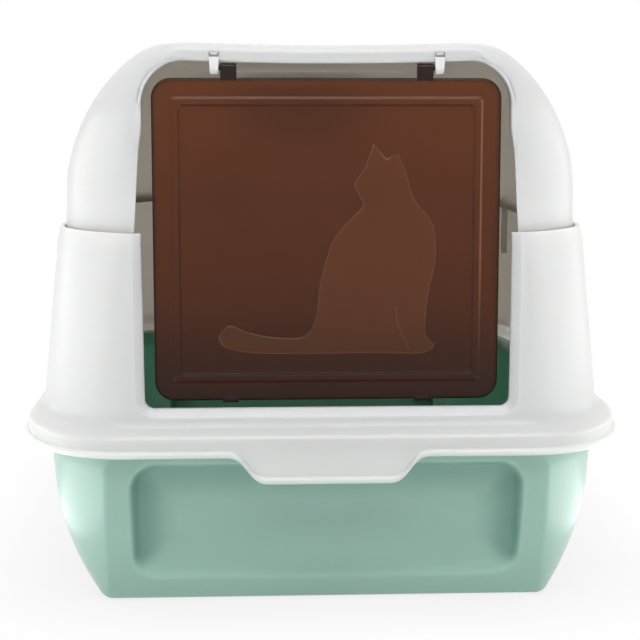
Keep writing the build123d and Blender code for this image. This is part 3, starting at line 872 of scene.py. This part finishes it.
# Flap. A see-through brown plate, 2.4 mm thick with a turned-back edge, that hangs from two pivots. A
# raised border frames a sunk panel with a seated cat in low relief. Two dark tabs at the top carry the
# pivots, and two short ones at the foot keep the flap from swinging sideways.
door_half = 110.0
door_foot = 136.7
door_head = 341.0
door_corner = 12.6
door_y = -242.0
door_back = -239.6
door_rim_back = -237.2
edge_round = 1.1
edge_angles = (0, 25, 50, 75, 90)
edge_depth = 2.6
least_corner = 3.0
long_run = 40.0
ridge_inset = 11.0
ridge_width = 5.0
ridge_slope = 2.6
ridge_fall = 1.8
ridge_height = 1.0
ridge_lit = (0.3, 0.7)
lit_reach = 0.5
border_insets = (2.2, 4.0, 8.0, 10.5)
back_insets = (1.9, 2.0, 6.0)
panel_inset = 20.7
panel_sink = 0.6
panel_x = (-84, 85)
panel_z = (163, 316)
panel_step = 6.0
cat_relief = 0.7
cat_slope = 0.6
leg_groove = 0.3
cat_shine = 0.5
ridge_shine = 1.0
ridge_shade = 0.5
edge_shade = (0.4, 2.0)
foot_power = 1.25
tab_half = 5.1
tab_x = 61.6
tab_thick = 1.7
tab_radius = 2.7
tab_z = (339.4, 344.2)
pivot_radius = 2.0
pivot_root = 1.0
pivot_reach = 6.4
foot_tab_z = (135.5, 138.5)
tab_edge = 0.35
brown_plastic = moulded_plastic(
    "brown_clear_plastic", (0.325, 0.095, 0.024, 1.0), (0.31, 0.088, 0.022, 1.0),
    low=0.3, high=0.36, grain=400.0, bump=0.02,
    Transmission_Weight=0.88, IOR=1.25, Coat_Weight=0.15, Coat_Roughness=0.08)
thick_brown_plastic = moulded_plastic(
    "brown_clear_plastic_thick", (0.035, 0.014, 0.009, 1.0), (0.03, 0.012, 0.008, 1.0),
    low=0.12, high=0.2, grain=400.0, bump=0.02, Transmission_Weight=0.5, IOR=1.3)
flap_tints = {
    # Painted shade: the flap darker towards its foot.
    "foot_painted_shade": (0.155, 0.03, 0.004, 1.0),
    "figure": (0.36, 0.12, 0.045, 1.0),
    # Darker round the outline, where the plate turns back, and painted shade along the ridge's inner fall.
    "thick_edge_and_painted_shade": (0.03, 0.012, 0.008, 1.0),
    # A painted highlight on the cat's lines and on the right ridge's outer slope.
    "painted_highlight": (0.8, 0.45, 0.28, 1.0),
}
for mask, colour in flap_tints.items():
    tint_by_mask(brown_plastic, mask, colour)
door_middle = (door_foot + door_head) / 2
door_rise = (door_head - door_foot) / 2


def door_ring(inset, y):
    """A rounded rectangle on the flap, in from its outline by an inset."""
    half, rise = door_half - inset, door_rise - inset
    radius = max(door_corner - inset, least_corner)
    points = []
    for cx, cz, start in ((1, -1, 270), (1, 1, 0), (-1, 1, 90), (-1, -1, 180)):
        for cos, sin in turns(np.linspace(start, start + 90, 13)):
            points.append((cx * (half - radius) + radius * cos, cz * (rise - radius) + radius * sin))
    out = []
    for (x0, z0), (x1, z1) in zip(points, points[1:] + points[:1]):
        far = math.hypot(x1 - x0, z1 - z0) > long_run
        for t in np.linspace(0, 1, 17 if far else 2)[:-1]:
            out.append((x0 + (x1 - x0) * t, y, door_middle + z0 + (z1 - z0) * t))
    return out


cat_left = -69.0
cat_foot = 166.7
cat_size = (138.0, 133.0)
cat_back = (
    (0.0, 0.085), (0.05, 0.135), (0.14, 0.1), (0.28, 0.075), (0.4, 0.085), (0.452, 0.18), (0.475, 0.36),
    (0.53, 0.54), (0.62, 0.655), (0.668, 0.71), (0.648, 0.765), (0.63, 0.815), (0.675, 0.885))
cat_leg = ((0.82, 0.22), (0.83, 0.14), (0.86, 0.07), (0.88, 0.02))
cat_ears = ((0.715, 1.0), (0.77, 0.928), (0.825, 0.955))
cat_chest = (
    (0.862, 0.86), (0.9, 0.74), (0.985, 0.62), (1.0, 0.46), (0.965, 0.27), (0.955, 0.1), (0.995, 0.035),
    (0.93, 0.0), (0.7, 0.004), (0.4, 0.0), (0.16, 0.006), (0.03, 0.035), (0.0, 0.085))


def soft_line(shares, steps=7):
    """A smooth line through points given as shares of the cat's box."""
    p = np.array([shares[0]] + list(shares) + [shares[-1]], float)
    out = []
    for i in range(1, len(p) - 2):
        a, b, c, d = p[i - 1], p[i], p[i + 1], p[i + 2]
        for t in np.linspace(0, 1, steps, endpoint=False):
            bend = (2 * a - 5 * b + 4 * c - d) * t**2 + (3 * b - a - 3 * c + d) * t**3
            out.append(0.5 * (2 * b + (c - a) * t + bend))
    return out


def on_flap(shares):
    """Points given as shares of the cat's box, in millimetres."""
    return [(cat_left + x * cat_size[0], cat_foot + z * cat_size[1]) for x, z in shares]


cat_line = on_flap(soft_line(cat_back) + [cat_back[-1]] + list(cat_ears) + soft_line(cat_chest))


def moved_in(line, amount):
    """A closed line moved to its left by an amount."""
    p = np.array(line)
    step = np.roll(p, -1, axis=0) - np.roll(p, 1, axis=0)
    step /= np.linalg.norm(step, axis=1)[:, None]
    return [tuple(q) for q in p + np.stack([-step[:, 1], step[:, 0]], axis=1) * amount]


rings = [door_ring(0.0, door_rim_back), door_ring(0.0, door_y + edge_depth)]
for cos, sin in turns(edge_angles):
    rings.append(door_ring(edge_round * (1 - cos), door_y + edge_round * (1 - sin)))
front_profile = [(inset, 0.0) for inset in border_insets]
for t in np.linspace(0, 1, 7):
    front_profile.append((ridge_inset + ridge_slope * t, ridge_height * smooth(0.0, 1.0, t)))
for t in np.linspace(0, 1, 9):
    fall = ridge_height - (ridge_height + panel_sink) * smooth(0.0, 1.0, t)
    front_profile.append((ridge_inset + ridge_width + ridge_fall * t, fall))
front_profile.append((panel_inset, -panel_sink))
for inset, rise in front_profile:
    rings.append(door_ring(inset, door_y - rise))
door_points = []
door_faces = []
count = len(rings[0])
back_rings = [door_ring(*at) for at in zip(back_insets, (door_rim_back, door_back, door_back))]
for n, loop in enumerate(back_rings[::-1] + rings):
    door_points += loop
    if n:
        start = (n - 1) * count
        for i in range(count):
            j = (i + 1) % count
            door_faces.append((start + i, start + j, start + count + j, start + count + i))
door_faces.append(tuple(range(count))[::-1])
panel_loop = list(range(len(door_points) - count, len(door_points)))
panel_y = door_y + panel_sink
edge_2d = [(door_points[i][0], door_points[i][2]) for i in panel_loop]
leg_line = on_flap(soft_line(cat_leg))
high_line = moved_in(cat_line, -cat_slope)
# Each line: its points, whether it is closed, its lift, and its share of painted highlight.
drawn = [
    (edge_2d, True, 0.0, 0.0),
    (moved_in(cat_line, cat_slope), True, 0.0, 0.0),
    (cat_line, True, cat_relief / 2, 1.0),
    (high_line, True, cat_relief, 0.0),
    ([(x - cat_slope, z) for x, z in leg_line], False, cat_relief, 0.0),
    (leg_line, False, cat_relief - leg_groove, 1.0),
    ([(x + cat_slope, z) for x, z in leg_line], False, cat_relief, 0.0),
]
flat = []
loops = []
drawn_by = []
for n, (line, closed, _, _) in enumerate(drawn):
    first = len(flat)
    size = len(line)
    flat += [Vector(p) for p in line]
    drawn_by += [n] * size
    loops += [(first + i, first + (i + 1) % size) for i in range(size if closed else size - 1)]
for x in np.arange(*panel_x, panel_step):
    flat += [Vector((x, z)) for z in np.arange(*panel_z, panel_step)]
made, _, triangles, sources, _, _ = geometry.delaunay_2d_cdt(flat, loops, [], 1, 1e-6)


def inside(point, line):
    """Whether a point is inside a closed line."""
    x, z = point
    found = False
    for (x0, z0), (x1, z1) in zip(line, line[1:] + line[:1]):
        if (z0 > z) != (z1 > z) and x < x0 + (x1 - x0) * (z - z0) / (z1 - z0):
            found = not found
    return found


number = []
glint = {}
for p, source in zip(made, sources):
    kind = drawn_by[min(source)] if source and min(source) < len(drawn_by) else None
    if kind == 0:
        number.append(panel_loop[min(source)])
        continue
    if kind is None:
        lift = cat_relief if inside(p, high_line) else 0.0
    else:
        lift = drawn[kind][2]
        glint[len(door_points)] = drawn[kind][3]
    number.append(len(door_points))
    door_points.append((p[0], panel_y - lift, p[1]))
for triangle in triangles:
    a, b, c = [made[i] for i in triangle]
    spin = (b[0] - a[0]) * (c[1] - a[1]) - (b[1] - a[1]) * (c[0] - a[0])
    face = [number[i] for i in triangle]
    door_faces.append(tuple(face if spin > 0 else face[::-1]))
door_piece = piece("flap_plate", door_points, door_faces, brown_plastic, "brown_clear_plastic")
masks = door_piece.data.attributes
for mask in flap_tints:
    masks.new(mask, "FLOAT", "POINT")
front_start = (len(back_rings) + len(rings) - len(front_profile)) * count
for n, (x, y, z) in enumerate(door_points):
    # A painted highlight along the cat's outline and leg line.
    shine = cat_shine * glint.get(n, 0.0)
    dark = 0.0
    if front_start <= n <= panel_loop[-1]:
        inset = front_profile[(n - front_start) // count][0]
        # A painted highlight on the right ridge's outer slope, fading out towards the foot.
        on_slope = ridge_lit[0] < (inset - ridge_inset) / ridge_slope < ridge_lit[1]
        if on_slope and x > door_half - inset - lit_reach:
            shine = ridge_shine * smooth(door_foot, door_middle, z)
        # Painted shade along the ridge's inner fall.
        if ridge_inset + ridge_width < inset < ridge_inset + ridge_width + ridge_fall:
            dark = ridge_shade
    side_gap = door_half - abs(x)
    end_gap = door_rise - abs(z - door_middle)
    reach = math.hypot(max(door_corner - side_gap, 0), max(door_corner - end_gap, 0))
    rim_gap = min(side_gap, end_gap, door_corner - reach)
    raised = n > panel_loop[-1] and y < panel_y - cat_relief / 2
    # Painted shade: the flap grows darker towards its foot.
    drop = min(max((door_head - z) / (door_head - door_foot), 0.0), 1.0)
    masks["painted_highlight"].data[n].value = shine
    masks["figure"].data[n].value = float(raised)
    masks["foot_painted_shade"].data[n].value = drop**foot_power
    # Darker in a band round the outline where the plate turns back, and the painted shade of the ridge's
    # fall.
    masks["thick_edge_and_painted_shade"].data[n].value = max(dark, 1.0 - smooth(*edge_shade, rim_gap))
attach(door_piece, "door")
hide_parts("flap_door")
parts = []
for side in (-1, 1):
    inner, outer = sorted((side * tab_x - tab_half, side * tab_x + tab_half))
    front, back = pivot_y - tab_thick, pivot_y + tab_thick
    ear = arc_profile(pivot_y, pivot_z, tab_radius, 0, 180, 11)
    ear += [(front, tab_z[1]), (front, tab_z[0]), (back, tab_z[0]), (back, tab_z[1])]
    parts.append((ear, inner, outer))
    pin_ends = (side * (tab_x + tab_half - pivot_root), side * (tab_x + tab_half + pivot_reach))
    parts.append((round_profile(pivot_y, pivot_z, pivot_radius), *sorted(pin_ends)))
    parts.append((box_profile((front, foot_tab_z[0]), (back, foot_tab_z[1])), inner, outer))
tab_piece = piece("flap_tabs", *gathered(parts), thick_brown_plastic, "brown_clear_plastic", tab_edge)
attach(tab_piece, "door")

# Back hinge. Two pairs of ears on the lower hood and a knuckle on the hood top between each pair, with a
# headed polypropylene pin through all three. The hood top folds back on it.
hinge_y = 258.0
hinge_z = 250.0
hinge_x = 75.0
knuckle_radius = 5.0
ear_gap = 10.3
ear_half = 3.0
ear_foot = [(248.8, 224.0), (263.0, 245.0)]
ear_root = [(253.0, 244.5), (248.8, 242.5)]
arm_half = 7.0
arm_y = 244.8
arm_z = (245.2, 258.0)
shank_radius = 2.5
shank_ends = (-13.3, 13.6)
head_radius = 4.0
head_height = 2.0
hinge_edge = 0.5
ears = []
arms = []
for side in (-1, 1):
    for edge in (-1, 1):
        middle_x = side * hinge_x + edge * ear_gap
        ear = ear_foot + arc_profile(hinge_y, hinge_z, knuckle_radius, 0, 180, 13) + ear_root
        ears.append((ear, middle_x - ear_half, middle_x + ear_half))
    strap = arc_profile(hinge_y, hinge_z, knuckle_radius, -90, 90, 13)
    strap = [(arm_y, arm_z[0])] + strap + [(arm_y, arm_z[1])]
    arms.append((strap, side * hinge_x - arm_half, side * hinge_x + arm_half))
ear_piece = piece(
    "hood_base_hinge_ears", *gathered(ears), small_white_plastic, "white_plastic", hinge_edge)
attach(ear_piece, "hood")
arm_piece = piece(
    "hood_top_hinge_arms", *gathered(arms), small_white_plastic, "white_plastic", hinge_edge)
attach(arm_piece, "top")
for side, word in ((-1, "left"), (1, "right")):
    inner, outer = [side * (hinge_x + end) for end in shank_ends]
    shank = (round_profile(hinge_y, hinge_z, shank_radius), *sorted((inner, outer)))
    head = (round_profile(hinge_y, hinge_z, head_radius), *sorted((outer, outer + side * head_height)))
    pin_points, pin_faces = gathered([shank, head])
    pin_name = f"rear_hinge_pin_{word}_moulding"
    pin_piece = piece(pin_name, pin_points, pin_faces, natural_plastic, "natural_plastic", small_edge)
    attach(pin_piece, "hood")
    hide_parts(f"rear_hinge_pin_{word}")

# Filter. A frame moulded on the hood top's back wall, open at the top, takes a grey carbon felt pad and
# a slotted white cover that slides down behind it.
bay_half = 52.2
bay_rail = 2.4
bay_lip = 3.0
bay_foot = 302.5
bay_head = 352.5
rail_y = (242.6, 256.9)
lip_y = (254.7, 257.1)
pad_y = (247.0, 252.0)
pad_z = (302.7, 348.5)
pad_half = 52.0
pad_edge = 1.2
cover_y = (252.2, 254.4)
cover_z = (pad_z[0], 309.5, 344.5, bay_head)
cover_window = 40.3
grip_z = (348.5, bay_head)
grip_half = 15.0
grip_depth = 3.5
cover_edge = 0.35
slat_start = (-31.5, 253.3, 327.0)
slat_step = (12.6, 0, 0)
slat_count = 6
slat_size = (7.6, 2.2, 36.0)
bar_foot = bay_foot - bay_rail
frame_bars = []
for side in (-1, 1):
    rail = sorted((side * bay_half, side * (bay_half + bay_rail)))
    lip_bar = sorted((side * (bay_half - bay_lip), side * (bay_half + bay_rail)))
    frame_bars.append((box_profile((rail_y[0], bar_foot), (rail_y[1], bay_head)), *rail))
    frame_bars.append((box_profile((lip_y[0], bar_foot), (lip_y[1], bay_head)), *lip_bar))
for (near, far), head in ((rail_y, bay_foot), (lip_y, bay_foot + bay_lip)):
    frame_bars.append((box_profile((near, bar_foot), (far, head)), -bay_half, bay_half))
bay_piece = piece(
    "hood_top_filter_bay", *gathered(frame_bars), small_white_plastic, "white_plastic", rib_edge)
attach(bay_piece, "top")
felt = moulded_plastic(
    "filter_felt", (0.55, 0.55, 0.53, 1.0), (0.42, 0.42, 0.4, 1.0),
    low=0.85, high=1.0, grain=420.0, bump=0.6, Subsurface_Weight=0.6, Subsurface_Scale=0.006)
pad_bar = [(box_profile((pad_y[0], pad_z[0]), (pad_y[1], pad_z[1])), -pad_half, pad_half)]
pad_piece = piece("filter_pad_felt", *gathered(pad_bar), felt, "filter_felt", pad_edge)
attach(pad_piece, "top")
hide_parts("filter_pad")
near, far = cover_y
cover_bars = [
    (box_profile((near, cover_z[0]), (far, cover_z[1])), -pad_half, pad_half),
    (box_profile((near, cover_z[2]), (far, cover_z[3])), -pad_half, pad_half),
    (box_profile((near, cover_z[1]), (far, cover_z[2])), -pad_half, -cover_window),
    (box_profile((near, cover_z[1]), (far, cover_z[2])), cover_window, pad_half),
    (box_profile((near, grip_z[0]), (far + grip_depth, grip_z[1])), -grip_half, grip_half),
]
cover_piece = piece(
    "filter_cover_frame", *gathered(cover_bars), small_white_plastic, "white_plastic", cover_edge)
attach(cover_piece, "cover")
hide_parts("filter_cover")
slats = [(slat_start, slat_step, slat_count, slat_size)]
rib_rows("filter_cover_slats", slats, small_white_plastic, "white_plastic", "cover")

# Studio. A white floor and air, a wide soft lamp at each side, two strips of light high in front, a weak
# lamp over the roof, and one lying on the floor by each front corner. The camera stands in front, a little
# above the middle of the hood, and looks slightly down. Sizes here are metres, watts and degrees.
white = (1.0, 1.0, 1.0, 1.0)
floor_grey = (0.86, 0.86, 0.86, 1.0)
floor_shadow = (0.82, 0.82, 0.82, 1.0)
floor_roughness = 0.9
floor_half = 6.0
shadow_reach = 0.1
air_strength = 0.44
side_aim = (0, 0, 0.15)
front_aim = (0, -0.25, 0.15)
lamps = {
    "lamp_left": ((-1.3, 0.2, 0.3), side_aim, (1.6, 0.7), 4.9),
    "lamp_right": ((1.3, 0.2, 0.3), side_aim, (1.6, 0.7), 3.6),
    "lamp_above": ((0, -0.9, 1.5), front_aim, (1.8, 0.25), 9.8),
    "lamp_front": ((0, -1.25, 1.15), front_aim, (1.6, 0.3), 4.8),
    "lamp_roof": ((0, 0.2, 1.3), (0, 0.1, 0.3), (1.0, 1.0), 0.8),
    "lamp_floor_left": ((-0.46, -0.34, 0.004), (-0.46, -0.34, 1.0), (0.46, 0.6), 1.25),
    "lamp_floor_right": ((0.46, -0.34, 0.004), (0.46, -0.34, 1.0), (0.46, 0.6), 1.25),
}
camera_place = (-0.0466, -1.181, 0.318)
camera_tilt = -7.85
camera_turn = -2.57
camera_lens = 83.6
camera_sensor = 36.0


def show_to_camera(tree, plain, seen, output):
    """Gives rays from the camera, a mirror or clear plastic the seen shader, and the rest the plain one."""
    path = tree.nodes.new("ShaderNodeLightPath")
    total = path.outputs["Is Camera Ray"]
    for word in ("Is Glossy Ray", "Is Transmission Ray"):
        add = tree.nodes.new("ShaderNodeMath")
        add.use_clamp = True
        tree.links.new(total, add.inputs[0])
        tree.links.new(path.outputs[word], add.inputs[1])
        total = add.outputs["Value"]
    choose = tree.nodes.new("ShaderNodeMixShader")
    tree.links.new(total, choose.inputs["Fac"])
    tree.links.new(plain, choose.inputs[1])
    tree.links.new(seen, choose.inputs[2])
    tree.links.new(choose.outputs["Shader"], tree.nodes[output].inputs["Surface"])


stage_material = bpy.data.materials.new("studio_white")
stage_material.use_nodes = True
stage_tree = stage_material.node_tree
plain_floor = stage_tree.nodes["Principled BSDF"]
plain_floor.inputs["Base Color"].default_value = floor_grey
plain_floor.inputs["Roughness"].default_value = floor_roughness
white_light = stage_tree.nodes.new("ShaderNodeEmission")
# The floor's shadow is painted: the camera sees the floor darker where ambient occlusion finds the object
# near.
nearness = stage_tree.nodes.new("ShaderNodeAmbientOcclusion")
nearness.inputs["Distance"].default_value = shadow_reach
shadow = colour_mix(stage_tree, nearness.outputs["AO"], floor_shadow, white)
stage_tree.links.new(shadow, white_light.inputs["Color"])
show_to_camera(stage_tree, plain_floor.outputs["BSDF"], white_light.outputs["Emission"], "Material Output")
floor_mesh = bpy.data.meshes.new("studio_floor")
floor_corners = [(x * floor_half, y * floor_half, 0) for x, y in ((-1, -1), (1, -1), (1, 1), (-1, 1))]
floor_mesh.from_pydata(floor_corners, [], [(0, 1, 2, 3)])
floor_mesh.materials.append(stage_material)
floor = bpy.data.objects.new("studio_floor", floor_mesh)
bpy.context.scene.collection.objects.link(floor)

world = bpy.data.worlds.new("studio_air")
bpy.context.scene.world = world
world.use_nodes = True
air_tree = world.node_tree
air = air_tree.nodes["Background"]
air.inputs["Color"].default_value = white
air.inputs["Strength"].default_value = air_strength
clear = air_tree.nodes.new("ShaderNodeBackground")
clear.inputs["Color"].default_value = white
show_to_camera(air_tree, air.outputs["Background"], clear.outputs["Background"], "World Output")

for name, (place, aim, size, power) in lamps.items():
    lamp_data = bpy.data.lights.new(name, "AREA")
    lamp_data.shape = "RECTANGLE"
    lamp_data.size, lamp_data.size_y = size
    lamp_data.energy = power
    lamp = bpy.data.objects.new(name, lamp_data)
    lamp.location = place
    lamp.rotation_euler = (Vector(aim) - Vector(place)).to_track_quat("-Z", "Y").to_euler()
    bpy.context.scene.collection.objects.link(lamp)

camera_data = bpy.data.cameras.new("photo_camera")
camera_data.lens = camera_lens
camera_data.sensor_width = camera_sensor
camera = bpy.data.objects.new("photo_camera", camera_data)
camera.location = camera_place
camera.rotation_euler = (math.radians(90 + camera_tilt), 0.0, math.radians(camera_turn))
bpy.context.scene.collection.objects.link(camera)
bpy.context.scene.camera = camera
bpy.context.scene.view_settings.view_transform = "Standard"
